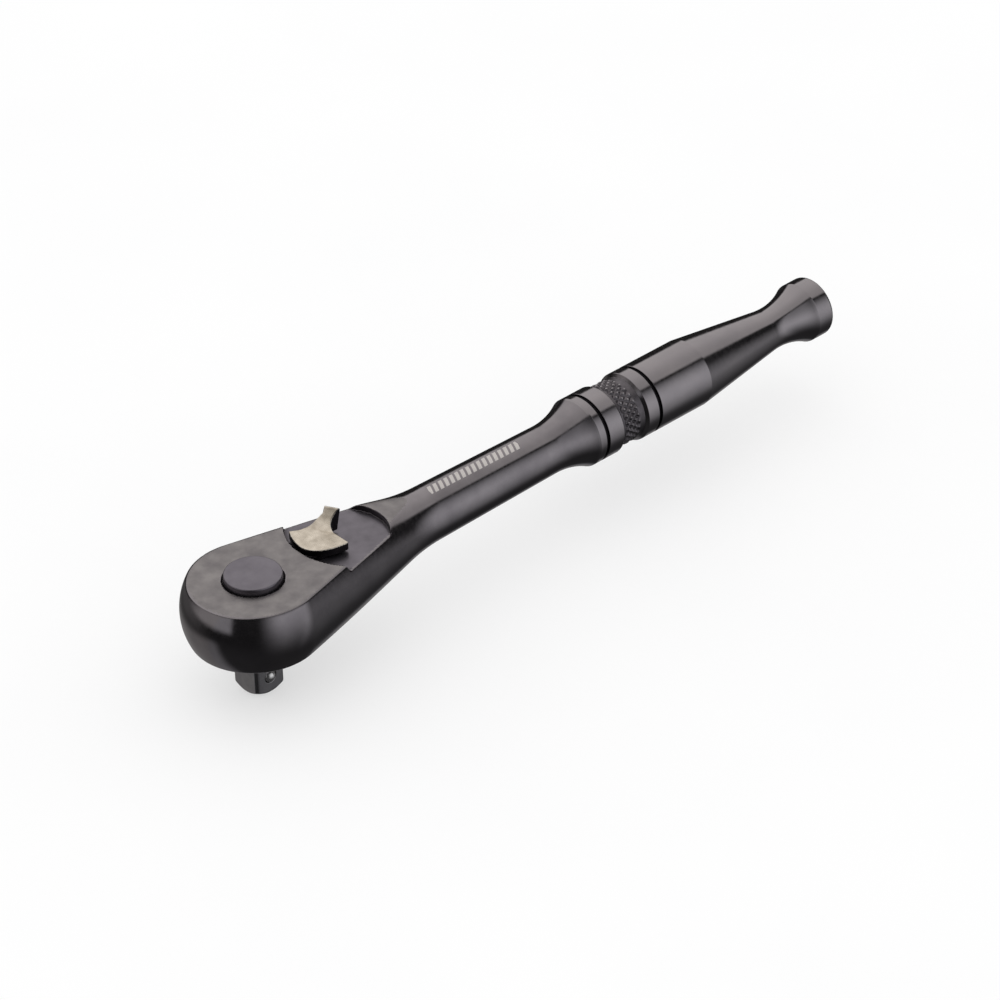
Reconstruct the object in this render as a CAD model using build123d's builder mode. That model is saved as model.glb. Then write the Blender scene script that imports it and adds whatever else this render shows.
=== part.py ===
from build123d import *
import math
import os

os.makedirs("parts", exist_ok=True)

# Quarter-inch-drive ratchet wrench.
# +Z is up, away from the drive tang.  +X runs along the handle, from the drive towards the grip.
# The origin is the centre of the tang's end face.  All sizes are in millimetres.

# ---- heights above the tang's end face ----
AXIS_Z = 16.4                      # axis of the handle, and mid-height of the head
HALF_HEAD = 5.85                   # head is cut flat this far above and below the axis
TOP_Z = AXIS_Z + HALF_HEAD
BOTTOM_Z = AXIS_Z - HALF_HEAD
POCKET_Z = AXIS_Z + 4.7            # floor of the lever pocket
ROOF_Z = AXIS_Z + 3.2              # underside of the roof, over the gear

# ---- handle and head outline, radii about the handle axis ----
NOSE_R = 12.85
HEAD_SLOPE = 0.223
NECK_X1 = 40.0
NECK_R1 = 5.17
NECK_SLOPE = 0.0163
NECK_FILLET = 40.0
FLARE_X = 68.24
FLARE_R = 4.71
FLARE_ARC = 17.3
COLLAR_X = 76.2
BARREL_R = 6.64
GROOVE_X1 = 78.04
GROOVE_X2 = 91.42
GROOVE_W = 0.6
GROOVE_D = 0.4
BAND_X1 = 82.0
BAND_X2 = 88.4
BAND_R = 6.02
TAPER_X1 = 104.6
WAIST_X = 126.9
WAIST_R = 4.02
WAIST_ARC = 16.5
TAPER_SLOPE = 0.1227
LIP_R = 5.85
LIP_X = 134.55
END_X = 138.3
END_ROUND = 0.5
FLATS_X2 = 43.0                    # the flats run out on the neck before this

# ---- lever pocket in the top flat: two arcs, open at both sides of the head ----
POCKET_LEFT_X = 10.75
POCKET_LEFT_END = (14.53, 9.0)
POCKET_RIGHT_X = 28.2
POCKET_RIGHT_END = (19.2, 9.0)

# ---- chamber and cover plate ----
CHAMBER_X = 7.6
CHAMBER_R = 5.1
STEM_CHAMBER_R = 3.4
COVER_T = 1.2
COVER_TOP_Z = BOTTOM_Z + COVER_T
COVER_R = 10.4
COVER_TAIL_X = 19.6
COVER_TAIL_R = 5.3
COVER_GAP = 0.1

# ---- drive ----
TEETH = 72
TIP_R = 7.2
ROOT_R = 6.78
GEAR_BORE_R = 7.5
GEAR_Z1 = AXIS_Z - 4.4
GEAR_Z2 = AXIS_Z + 2.9
BOSS_R = 5.33
BOSS_Z = AXIS_Z + 3.6
HUB_R = 4.92
HUB_Z = AXIS_Z - 8.6
DRIVE = 6.35                       # quarter-inch square
DRIVE_CORNER_R = 4.15
TANG_CHAMFER = 0.8
STEM_BORE_R = 1.36
SPRING_BORE_R = 3.6
SPRING_BORE_Z = AXIS_Z - 0.5

# ---- quick release ----
BUTTON_HOLE_R = 5.4
BUTTON_R = 5.1
BUTTON_Z1 = AXIS_Z + 4.9
BUTTON_Z2 = AXIS_Z + 7.0
BUTTON_TRAVEL = 1.1
STEM_R = 1.3
STEM_Z = 1.0
BALL_R = 1.2
BALL_Z = AXIS_Z - 13.2
BALL_REST = 2.575                  # distance of the ball's centre from the drive axis
BALL_TRAVEL = 0.6
BALL_CLEAR = 1.25
BUTTON_EDGE = 0.25

# ---- pawl and reversing lever ----
LEVER_X = 14.06
LEVER_ANGLE = 28.0
LEVER_STEM_R = 2.3
LEVER_STEM_Z = AXIS_Z - 4.2
LEVER_FIT = 0.06                   # running clearance round the stem
LEVER_BOSS_R = 3.1
PLATE_Z1 = AXIS_Z + 5.1
PLATE_Z2 = AXIS_Z + 6.6
TAB_Z = AXIS_Z + 9.2
PAWL_X = 9.3
PAWL_ROCK = 3.44
PAWL_Z1 = AXIS_Z - 4.2
PAWL_Z2 = AXIS_Z + 2.8
PIN_R = 0.8
PLUNGER_Z = AXIS_Z - 0.7
PLUNGER_R = 0.8
SEAL_R = 0.3                       # section radius of both seals
SEAL_GROOVE_R = 0.33
HUB_SEAL = (HUB_R - 0.3, BOTTOM_Z + 0.6)
LEVER_SEAL = (LEVER_STEM_R - 0.28, POCKET_Z - 0.75)
RING_Z = ROOF_Z - 0.7              # retaining ring on the lever's stem
RING_T = 0.4
RING_R = 3.0
RING_BORE_R = 1.95

# ---- cover screws ----
SCREWS = [(7.8, 6.7), (7.8, -6.7), (20.3, 0.0)]
SCREW_HEAD_R = 1.6
SCREW_R = 0.9
SCREW_LENGTH = 4.8
SCREW_SINK = 0.7
HEX_R = 0.75
HEX_DEPTH = 0.6


def tooth_outline(tip, root):
    """Corner points of a ring of symmetrical teeth, with a tooth on the +X axis."""
    points = []
    for tooth in range(TEETH):
        for radius, part in ((root, -0.42), (tip, -0.1), (tip, 0.1), (root, 0.42)):
            angle = 2 * math.pi * (tooth + part) / TEETH
            points.append((radius * math.cos(angle), radius * math.sin(angle)))
    return points


def helix_spring(radius, wire, length, turns):
    """Coil spring standing on the XY plane, centred on Z, wholly between 0 and length."""
    rise = length - 2 * wire
    path = Helix(pitch=rise / turns, height=rise, radius=radius)
    start = path @ 0
    section = Plane(origin=start, x_dir=(1, 0, 0), z_dir=path % 0) * Circle(wire)
    return Pos(0, 0, wire) * sweep(section, path=path, is_frenet=True)


def lever_frame(part):
    """Place a piece drawn about the lever's own axis, tab along +X, in the head."""
    return Pos(LEVER_X, 0, 0) * Rot(0, 0, LEVER_ANGLE) * part


# ---- handle body: one turned and forged piece ----
nose_angle = 90 - math.degrees(math.atan(HEAD_SLOPE))
cone_start = (NOSE_R * math.cos(math.radians(nose_angle)), NOSE_R * math.sin(math.radians(nose_angle)))
cone_zero = cone_start[1] + HEAD_SLOPE * cone_start[0]
neck_zero = NECK_R1 + NECK_SLOPE * NECK_X1
neck_corner_x = (cone_zero - neck_zero) / (HEAD_SLOPE - NECK_SLOPE)
neck_corner_r = cone_zero - HEAD_SLOPE * neck_corner_x
waist_turn = math.atan(TAPER_SLOPE)
waist_start = (WAIST_X - WAIST_ARC * math.sin(waist_turn), WAIST_R + WAIST_ARC * (1 - math.cos(waist_turn)))


def flare(x):
    """Radius of the concave flare that runs up to the first collar."""
    return FLARE_R + FLARE_ARC - math.sqrt(FLARE_ARC ** 2 - (x - FLARE_X) ** 2)


def waist(x):
    """Radius of the concave waist before the end lip."""
    return WAIST_R + WAIST_ARC - math.sqrt(WAIST_ARC ** 2 - (x - WAIST_X) ** 2)


with BuildPart() as handle_body:
    with BuildSketch(Plane.XZ) as outline:
        with BuildLine():
            CenterArc((0, AXIS_Z), NOSE_R, nose_angle, 180 - nose_angle)
            Line((cone_start[0], AXIS_Z + cone_start[1]), (neck_corner_x, AXIS_Z + neck_corner_r))
            Line((neck_corner_x, AXIS_Z + neck_corner_r), (FLARE_X, AXIS_Z + FLARE_R))
            ThreePointArc(
                (FLARE_X, AXIS_Z + FLARE_R),
                (FLARE_X + 4.5, AXIS_Z + flare(FLARE_X + 4.5)),
                (COLLAR_X, AXIS_Z + BARREL_R),
            )
            Line((COLLAR_X, AXIS_Z + BARREL_R), (TAPER_X1, AXIS_Z + BARREL_R))
            Line((TAPER_X1, AXIS_Z + BARREL_R), (waist_start[0], AXIS_Z + waist_start[1]))
            ThreePointArc(
                (waist_start[0], AXIS_Z + waist_start[1]),
                (130.0, AXIS_Z + waist(130.0)),
                (LIP_X, AXIS_Z + LIP_R),
            )
            Line((LIP_X, AXIS_Z + LIP_R), (END_X, AXIS_Z + LIP_R))
            Line((END_X, AXIS_Z + LIP_R), (END_X, AXIS_Z))
            Line((END_X, AXIS_Z), (-NOSE_R, AXIS_Z))
        make_face()
        neck_corner = outline.vertices().sort_by_distance((neck_corner_x, 0, AXIS_Z + neck_corner_r))[0]
        fillet(neck_corner, radius=NECK_FILLET)
    revolve(axis=Axis((0, 0, AXIS_Z), (1, 0, 0)))
    # two narrow grooves, and the recessed band between the collars
    with BuildSketch(Plane.XZ):
        for x in (GROOVE_X1, GROOVE_X2):
            with BuildLine():
                Polyline(
                    (x - GROOVE_W / 2, AXIS_Z + BARREL_R + 1),
                    (x - GROOVE_W / 2, AXIS_Z + BARREL_R - GROOVE_D),
                    (x + GROOVE_W / 2, AXIS_Z + BARREL_R - GROOVE_D),
                    (x + GROOVE_W / 2, AXIS_Z + BARREL_R + 1),
                    close=True,
                )
            make_face()
        with BuildLine():
            Polyline(
                (BAND_X1 - 0.1, AXIS_Z + BARREL_R + 1),
                (BAND_X1, AXIS_Z + BARREL_R),
                (BAND_X1 + 1.1, AXIS_Z + BAND_R),
                (BAND_X2 - 1.1, AXIS_Z + BAND_R),
                (BAND_X2, AXIS_Z + BARREL_R),
                (BAND_X2 + 0.1, AXIS_Z + BARREL_R + 1),
                close=True,
            )
        make_face()
    revolve(axis=Axis((0, 0, AXIS_Z), (1, 0, 0)), mode=Mode.SUBTRACT)
    # the head is cut flat above and below
    with BuildSketch(Plane.XY.offset(TOP_Z)):
        with Locations((FLATS_X2, 0)):
            Rectangle(60, 40, align=(Align.MAX, Align.CENTER))
    extrude(amount=10, mode=Mode.SUBTRACT)
    with BuildSketch(Plane.XY.offset(BOTTOM_Z)):
        with Locations((FLATS_X2, 0)):
            Rectangle(60, 40, align=(Align.MAX, Align.CENTER))
    extrude(amount=-10, mode=Mode.SUBTRACT)
    # pocket for the reversing lever, open at both sides of the head
    with BuildSketch(Plane.XY.offset(POCKET_Z)):
        with BuildLine():
            left, right = Vector(*POCKET_LEFT_END), Vector(*POCKET_RIGHT_END)
            left_mirror, right_mirror = Vector(left.X, -left.Y), Vector(right.X, -right.Y)
            ThreePointArc(left_mirror, (POCKET_LEFT_X, 0), left)
            Line(left, right)
            ThreePointArc(right, (POCKET_RIGHT_X, 0), right_mirror)
            Line(right_mirror, left_mirror)
        make_face()
    extrude(amount=5, mode=Mode.SUBTRACT)
    # button hole and lever hole through the roof
    with BuildSketch(Plane.XY.offset(AXIS_Z)):
        Circle(BUTTON_HOLE_R)
        with Locations((LEVER_X, 0)):
            Circle(LEVER_STEM_R + LEVER_FIT)
    extrude(amount=10, mode=Mode.SUBTRACT)
    # chamber for the gear, the pawl and the lever's stem
    with BuildSketch(Plane.XY.offset(BOTTOM_Z)):
        Circle(GEAR_BORE_R)
    extrude(amount=ROOF_Z - BOTTOM_Z, mode=Mode.SUBTRACT)
    with BuildSketch(Plane.XY.offset(BOTTOM_Z)):
        with Locations((CHAMBER_X, 0)):
            Circle(CHAMBER_R)
        with Locations((LEVER_X, 0)):
            Circle(STEM_CHAMBER_R)
        make_hull()
    extrude(amount=ROOF_Z - BOTTOM_Z, mode=Mode.SUBTRACT)
    # blind hole for the pawl's pin
    with BuildSketch(Plane.XY.offset(ROOF_Z - 1)):
        with Locations((PAWL_X, 0)):
            Circle(PIN_R)
    extrude(amount=1.9, mode=Mode.SUBTRACT)
    # recess for the cover plate, and its screw holes
    with BuildSketch(Plane.XY.offset(BOTTOM_Z)):
        Circle(COVER_R + COVER_GAP)
        with Locations((COVER_TAIL_X, 0)):
            Circle(COVER_TAIL_R + COVER_GAP)
        make_hull()
    extrude(amount=COVER_T, mode=Mode.SUBTRACT)
    with BuildSketch(Plane.XY.offset(BOTTOM_Z)):
        with Locations(*SCREWS):
            Circle(SCREW_R + 0.05)
    extrude(amount=COVER_T + 4, mode=Mode.SUBTRACT)
    end_rim = handle_body.edges().filter_by(GeomType.CIRCLE).sort_by(Axis.X)[-1]
    fillet(end_rim, radius=END_ROUND)

# ---- cover plate under the head ----
with BuildPart() as cover_plate:
    with BuildSketch(Plane.XY.offset(BOTTOM_Z)):
        Circle(COVER_R)
        with Locations((COVER_TAIL_X, 0)):
            Circle(COVER_TAIL_R)
        make_hull()
    extrude(amount=COVER_T)
    with BuildSketch(Plane.XY.offset(BOTTOM_Z)):
        Circle(HUB_R + 0.08)
    extrude(amount=COVER_T, mode=Mode.SUBTRACT)
    with BuildSketch(Plane.XY.offset(BOTTOM_Z)):
        with Locations(*SCREWS):
            Circle(SCREW_HEAD_R + 0.05)
    extrude(amount=0.8, taper=45 * 0.96, mode=Mode.SUBTRACT)
    with BuildSketch(Plane.XY.offset(BOTTOM_Z)):
        with Locations(*SCREWS):
            Circle(SCREW_R + 0.05)
    extrude(amount=COVER_T, mode=Mode.SUBTRACT)

# ---- three countersunk screws ----
with BuildPart() as cover_screws:
    with BuildSketch(Plane.XY.offset(BOTTOM_Z)):
        with Locations(*SCREWS):
            Circle(SCREW_R)
    extrude(amount=SCREW_LENGTH)
    with BuildSketch(Plane.XY.offset(BOTTOM_Z)):
        with Locations(*SCREWS):
            Circle(SCREW_HEAD_R)
    extrude(amount=SCREW_SINK, taper=45)
    with BuildSketch(Plane.XY.offset(BOTTOM_Z)):
        with Locations(*SCREWS):
            RegularPolygon(radius=HEX_R, side_count=6)
    extrude(amount=HEX_DEPTH, mode=Mode.SUBTRACT)

# ---- drive: toothed wheel, hub and square tang in one piece ----
with BuildPart() as drive_gear:
    with BuildSketch(Plane.XY.offset(GEAR_Z1)):
        with BuildLine():
            Polyline(*tooth_outline(TIP_R, ROOT_R), close=True)
        make_face()
    extrude(amount=GEAR_Z2 - GEAR_Z1)
    with BuildSketch(Plane.XY.offset(GEAR_Z2)):
        Circle(BOSS_R)
    extrude(amount=BOSS_Z - GEAR_Z2)
    with BuildSketch(Plane.XY.offset(HUB_Z)):
        Circle(HUB_R)
    extrude(amount=GEAR_Z1 - HUB_Z)
    with BuildSketch(Plane.XY):
        Rectangle(DRIVE, DRIVE)
        Circle(DRIVE_CORNER_R, mode=Mode.INTERSECT)
    extrude(amount=HUB_Z)
    # turned chamfer on the end of the tang
    with BuildSketch(Plane.XZ):
        with BuildLine():
            Polyline(
                (DRIVE_CORNER_R - 1.05, 0),
                (DRIVE_CORNER_R, TANG_CHAMFER),
                (DRIVE_CORNER_R + 2, TANG_CHAMFER),
                (DRIVE_CORNER_R + 2, -1),
                (DRIVE_CORNER_R - 1.05, -1),
                close=True,
            )
        make_face()
    revolve(axis=Axis.Z, mode=Mode.SUBTRACT)
    # bore for the release stem, wider at the top for the spring
    with BuildSketch(Plane.XY.offset(STEM_Z - 0.3)):
        Circle(STEM_BORE_R)
    extrude(amount=30, mode=Mode.SUBTRACT)
    with BuildSketch(Plane.XY.offset(SPRING_BORE_Z)):
        Circle(SPRING_BORE_R)
    extrude(amount=30, mode=Mode.SUBTRACT)
    # hole for the detent ball, in the side that faces -Y
    with BuildSketch(Plane.XZ):
        with Locations((0, BALL_Z)):
            Circle(BALL_CLEAR)
    extrude(amount=6, mode=Mode.SUBTRACT)
    # groove for the hub seal
    with BuildSketch(Plane.XZ):
        with Locations(HUB_SEAL):
            Circle(SEAL_GROOVE_R)
    revolve(axis=Axis.Z, mode=Mode.SUBTRACT)

# ---- hub seal ----
with BuildPart() as drive_o_ring:
    with BuildSketch(Plane.XZ):
        with Locations(HUB_SEAL):
            Circle(SEAL_R)
    revolve(axis=Axis.Z)

# ---- thrust washers above and below the gear ----
with BuildPart() as upper_thrust_washer:
    with BuildSketch(Plane.XY.offset(GEAR_Z2 + 0.05)):
        Circle(7.1)
        Circle(BOSS_R + 0.15, mode=Mode.SUBTRACT)
    extrude(amount=0.2)

with BuildPart() as lower_thrust_washer:
    with BuildSketch(Plane.XY.offset(COVER_TOP_Z + 0.03)):
        Circle(6.6)
        Circle(HUB_R + 0.15, mode=Mode.SUBTRACT)
    extrude(amount=0.17)

# ---- detent ball ----
with BuildPart() as detent_ball:
    with Locations((0, -BALL_REST, BALL_Z)):
        Sphere(BALL_R)

# ---- quick-release button ----
with BuildPart() as quick_release_button:
    with BuildSketch(Plane.XY.offset(BUTTON_Z1)):
        Circle(BUTTON_R)
    extrude(amount=BUTTON_Z2 - BUTTON_Z1)
    fillet(quick_release_button.edges().sort_by(Axis.Z)[-1], radius=BUTTON_EDGE)
    with BuildSketch(Plane.XY.offset(BUTTON_Z1)):
        Circle(STEM_R)
    extrude(amount=1.0, mode=Mode.SUBTRACT)

# ---- release stem: its ramped groove lets the ball in as the button goes down ----
ramp_dir = (-BALL_TRAVEL, BUTTON_TRAVEL)
ramp_len = math.hypot(*ramp_dir)
ramp_off = (-BALL_CLEAR * ramp_dir[1] / ramp_len, BALL_CLEAR * ramp_dir[0] / ramp_len)
groove_centre = (BALL_REST - BALL_TRAVEL, BALL_Z + BUTTON_TRAVEL)
ramp_bottom = (BALL_REST + ramp_off[0], BALL_Z + ramp_off[1])
ramp_top = (groove_centre[0] + ramp_off[0], groove_centre[1] + ramp_off[1])
groove_floor = (groove_centre[0] - BALL_CLEAR, groove_centre[1])
groove_top = (groove_centre[0], groove_centre[1] + BALL_CLEAR)

with BuildPart() as release_plunger:
    with BuildSketch(Plane.XY.offset(STEM_Z + BUTTON_TRAVEL)):
        Circle(STEM_R)
    extrude(amount=BUTTON_Z1 + 1.0 - STEM_Z - BUTTON_TRAVEL)
    with BuildSketch(Plane.XZ):
        with BuildLine():
            Line(ramp_bottom, ramp_top)
            ThreePointArc(
                ramp_top,
                (
                    groove_centre[0] - BALL_CLEAR * math.cos(math.radians(10)),
                    groove_centre[1] + BALL_CLEAR * math.sin(math.radians(10)),
                ),
                groove_top,
            )
            Line(groove_top, (3, groove_top[1]))
            Line((3, groove_top[1]), (3, ramp_bottom[1]))
            Line((3, ramp_bottom[1]), ramp_bottom)
        make_face()
    revolve(axis=Axis.Z, mode=Mode.SUBTRACT)

# ---- button return spring ----
button_coil = helix_spring(2.6, 0.3, BUTTON_Z1 - SPRING_BORE_Z - 0.04, 4.5)

with BuildPart() as button_spring:
    add(Pos(0, 0, SPRING_BORE_Z + 0.02) * button_coil)

# ---- reversing lever: plate, thumb tab and stem, drawn about the stem's axis ----
with BuildPart() as lever_raw:
    with BuildSketch(Plane.XY.offset(PLATE_Z1)):
        with BuildLine():
            ThreePointArc((1.45, 5.23), (-1.42, 3.1), (-3.25, 0))
            ThreePointArc((-3.25, 0), (-1.42, -3.1), (1.45, -5.23))
            Spline((1.45, -5.23), (3.3, -1.9), (5.3, -0.95))
            Line((5.3, -0.95), (5.3, 0.95))
            Spline((5.3, 0.95), (3.3, 1.9), (1.45, 5.23))
        make_face()
    extrude(amount=PLATE_Z2 - PLATE_Z1)
    fillet(lever_raw.edges().filter_by(Axis.Z).sort_by(Axis.Y)[0], radius=0.4)
    fillet(lever_raw.edges().filter_by(Axis.Z).sort_by(Axis.Y)[-1], radius=0.4)
    fillet(lever_raw.edges().filter_by(Axis.Z).sort_by(Axis.X)[0], radius=1.5)
    # thumb tab: leans outwards and widens to its tip
    with BuildSketch(Plane.YZ.offset(4.6)):
        with BuildLine():
            Polyline(
                (-0.9, PLATE_Z1),
                (-1.0, PLATE_Z2),
                (-1.9, TAB_Z - 0.4),
                (-1.5, TAB_Z),
                (1.5, TAB_Z),
                (1.9, TAB_Z - 0.4),
                (1.0, PLATE_Z2),
                (0.9, PLATE_Z1),
                close=True,
            )
        make_face()
    extrude(amount=2.4)
    with BuildSketch(Plane.XZ.offset(-3)):
        with BuildLine():
            Polyline((4.4, PLATE_Z1 + 1.2), (5.4, TAB_Z + 0.1), (4.4, TAB_Z + 0.1), close=True)
        make_face()
        with BuildLine():
            Polyline(
                (6.3, PLATE_Z1 - 0.1),
                (6.95, TAB_Z - 0.5),
                (7.2, TAB_Z - 0.5),
                (7.2, PLATE_Z1 - 0.1),
                close=True,
            )
        make_face()
    extrude(amount=6, mode=Mode.SUBTRACT)
    # stem through the roof
    with BuildSketch(Plane.XY.offset(LEVER_STEM_Z)):
        Circle(LEVER_STEM_R)
    extrude(amount=PLATE_Z1 - LEVER_STEM_Z)
    with BuildSketch(Plane.XY.offset(POCKET_Z + 0.1)):
        Circle(LEVER_BOSS_R)
    extrude(amount=PLATE_Z1 - POCKET_Z - 0.1)
    # grooves for the seal and for the retaining ring
    with BuildSketch(Plane.XZ):
        with Locations(LEVER_SEAL):
            Circle(SEAL_GROOVE_R)
    revolve(axis=Axis.Z, mode=Mode.SUBTRACT)
    with BuildSketch(Plane.XY.offset(RING_Z - 0.05)):
        Circle(LEVER_STEM_R + 1)
        Circle(RING_BORE_R - 0.05, mode=Mode.SUBTRACT)
    extrude(amount=RING_T + 0.1, mode=Mode.SUBTRACT)
    # blind cross bore for the pawl plunger, opening away from the tab
    with BuildSketch(Plane.YZ.offset(1.2)):
        with Locations((0, PLUNGER_Z)):
            Circle(PLUNGER_R + 0.05)
    extrude(amount=-4, mode=Mode.SUBTRACT)

with BuildPart() as reversing_lever:
    add(lever_frame(lever_raw.part))

# ---- lever seal ----
with BuildPart() as o_ring_raw:
    with BuildSketch(Plane.XZ):
        with Locations(LEVER_SEAL):
            Circle(SEAL_R)
    revolve(axis=Axis.Z)

with BuildPart() as lever_o_ring:
    add(lever_frame(o_ring_raw.part))

# ---- open retaining ring under the roof ----
with BuildPart() as ring_raw:
    with BuildSketch(Plane.XY.offset(RING_Z)):
        Circle(RING_R)
        Circle(RING_BORE_R, mode=Mode.SUBTRACT)
        with Locations((2.5, 0)):
            Rectangle(3, 1.6, mode=Mode.SUBTRACT)
    extrude(amount=RING_T)

with BuildPart() as lever_retaining_ring:
    add(lever_frame(ring_raw.part))

# ---- sprung plunger in the lever's stem ----
with BuildPart() as plunger_raw:
    with BuildSketch(Plane.YZ.offset(-0.9)):
        Circle(PLUNGER_R)
    extrude(amount=-1.3)
    with Locations((-2.2, 0, 0)):
        Sphere(PLUNGER_R)

with BuildPart() as pawl_plunger:
    add(lever_frame(Pos(0, 0, PLUNGER_Z) * plunger_raw.part))

pawl_coil = helix_spring(0.5, 0.12, 1.55, 3.5)

with BuildPart() as pawl_spring:
    add(lever_frame(Pos(1.15, 0, PLUNGER_Z) * Rot(0, -90, 0) * pawl_coil))

# ---- pawl, drawn midway and then rocked to each side to cut its teeth ----
with BuildPart() as pawl_blank:
    with BuildSketch(Plane.XY.offset(PAWL_Z1)):
        with BuildLine():
            ThreePointArc((5.87, -4.27), (TIP_R + 0.06, 0), (5.87, 4.27))
            Line((5.87, 4.27), (8.2, 4.4))
            Line((8.2, 4.4), (11.55, 1.9))
            ThreePointArc((11.55, 1.9), (LEVER_X - 3.15, 0), (11.55, -1.9))
            Line((11.55, -1.9), (8.2, -4.4))
            Line((8.2, -4.4), (5.87, -4.27))
        make_face()
        with Locations((PAWL_X, 0)):
            Circle(PIN_R + 0.06, mode=Mode.SUBTRACT)
    extrude(amount=PAWL_Z2 - PAWL_Z1)

with BuildPart() as gear_cutter:
    with BuildSketch(Plane.XY.offset(PAWL_Z1 - 1)):
        with BuildLine():
            Polyline(*tooth_outline(TIP_R + 0.04, ROOT_R + 0.04), close=True)
        make_face()
    extrude(amount=PAWL_Z2 - PAWL_Z1 + 2)

with BuildPart() as relief_cutter:
    with BuildSketch(Plane.XY.offset(PAWL_Z1 - 1)):
        Circle(TIP_R + 0.5)
        with Locations((10, 0)):
            Rectangle(20, 5.2, mode=Mode.INTERSECT)
    extrude(amount=PAWL_Z2 - PAWL_Z1 + 2)


def rocked(part, angle):
    """Turn a piece about the pawl's pin."""
    return Pos(PAWL_X, 0, 0) * Rot(0, 0, angle) * Pos(-PAWL_X, 0, 0) * part


engaged_right = rocked(pawl_blank.part, -PAWL_ROCK) - gear_cutter.part - relief_cutter.part
engaged_left = rocked(engaged_right, 2 * PAWL_ROCK) - gear_cutter.part - relief_cutter.part

with BuildPart() as pawl:
    add(rocked(engaged_left, -2 * PAWL_ROCK))

# ---- pin the pawl rocks on ----
with BuildPart() as pawl_pivot_pin:
    with BuildSketch(Plane.XY.offset(COVER_TOP_Z + 0.05)):
        with Locations((PAWL_X, 0)):
            Circle(PIN_R - 0.02)
    extrude(amount=ROOF_Z + 0.85 - COVER_TOP_Z - 0.05)

for name, piece in (
    ("handle_body", handle_body),
    ("cover_plate", cover_plate),
    ("cover_screws", cover_screws),
    ("drive_gear", drive_gear),
    ("drive_o_ring", drive_o_ring),
    ("upper_thrust_washer", upper_thrust_washer),
    ("lower_thrust_washer", lower_thrust_washer),
    ("detent_ball", detent_ball),
    ("quick_release_button", quick_release_button),
    ("release_plunger", release_plunger),
    ("button_spring", button_spring),
    ("reversing_lever", reversing_lever),
    ("lever_o_ring", lever_o_ring),
    ("lever_retaining_ring", lever_retaining_ring),
    ("pawl_plunger", pawl_plunger),
    ("pawl_spring", pawl_spring),
    ("pawl", pawl),
    ("pawl_pivot_pin", pawl_pivot_pin),
):
    piece.part.label = name
    export_step(piece.part, "parts/" + name + ".step")
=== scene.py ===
import math

import bpy
import numpy as np
from mathutils import Matrix, Vector


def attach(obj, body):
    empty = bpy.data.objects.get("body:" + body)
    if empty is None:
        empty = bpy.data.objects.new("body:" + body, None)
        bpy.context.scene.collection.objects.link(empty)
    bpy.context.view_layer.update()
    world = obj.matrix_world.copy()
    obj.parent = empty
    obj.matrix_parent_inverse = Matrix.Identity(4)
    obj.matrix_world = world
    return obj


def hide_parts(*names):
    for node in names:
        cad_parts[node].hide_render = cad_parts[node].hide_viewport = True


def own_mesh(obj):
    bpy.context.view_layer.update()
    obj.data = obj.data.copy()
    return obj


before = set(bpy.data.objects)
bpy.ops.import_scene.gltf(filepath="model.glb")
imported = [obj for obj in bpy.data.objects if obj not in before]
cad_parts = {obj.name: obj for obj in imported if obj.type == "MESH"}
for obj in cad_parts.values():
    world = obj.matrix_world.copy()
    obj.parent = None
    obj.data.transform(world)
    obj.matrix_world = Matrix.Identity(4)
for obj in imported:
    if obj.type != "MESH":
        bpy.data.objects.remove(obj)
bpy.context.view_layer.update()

# ---- sizes ----
# Millimetres, about the handle's own axis: x along the handle from the drive, z up.
MM = 0.001
AXIS_Z = 16.4
HALF_HEAD = 5.85
POCKET = 4.7
NEAR_WALL, FAR_WALL = (23.35, 12.6), (19.2, 9.0)
ROOF = 3.2
COVER_T = 1.2
NOSE_R = 12.85
HEAD_SLOPE = 0.223
NECK_X1, NECK_R1, NECK_SLOPE = 40.0, 5.17, 0.0163
NECK_BLEND = 40.0
FLARE_X, FLARE_R, FLARE_ARC = 68.24, 4.71, 17.3
BARREL_R = 6.64
GROOVES = (78.04, 91.42)
GROOVE_W, GROOVE_D = 0.78, 0.45
BAND_X1, BAND_X2, BAND_R = 82.0, 88.4, 6.02
TAPER_X, TAPER_SLOPE = 104.6, 0.1227
WAIST_X, WAIST_R, WAIST_ARC = 126.9, 4.02, 16.5
LIP_X, LIP_R, END_X = 134.55, 5.85, 138.3
LEVER_X, LEVER_ANGLE = 14.06, math.radians(28.0)
PAWL_X = 9.3
SCREWS = ((7.8, 6.7), (7.8, -6.7), (20.3, 0.0))
HANDLE_STEP = 0.28
HEAD_END = 42
OUTSIDE = 9.0
HEAD_EDGE, POCKET_EDGE, HOLE_EDGE, CHAMBER_EDGE = 0.38, 0.16, 0.14, 0.12
BUTTON_HOLE_R, LEVER_HOLE_R = 5.4, 2.36
TEETH, TIP_R, ROOT_R = 72, 7.2, 6.78
SQUARE_HALF, SQUARE_CORNER_R = 3.175, 4.15
STEM_BORE_R, SPRING_BORE_R, BALL_BORE_R = 1.36, 3.6, 1.25
BALL_Y, BALL_Z = -2.575, -13.2
HUB_SEAL, LEVER_SEAL = (-5.25, 4.62), (3.95, 2.02)
SEAL_SECTION, SEAL_GROOVE_HALF = 0.3, 0.33
BALL_R = 1.2
PLUNGER_Z = -0.7
MARK_X1, MARK_X2, MARK_Y, MARK_PITCH = 39.6, 61.3, -0.62, 1.3
# where the camera stands, and its bearing, downward tilt and roll in degrees
CAMERA_AT = (-342.782, -433.647, 415.906)
CAMERA_TURN = (47.314, 34.479, -1.0557)
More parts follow.
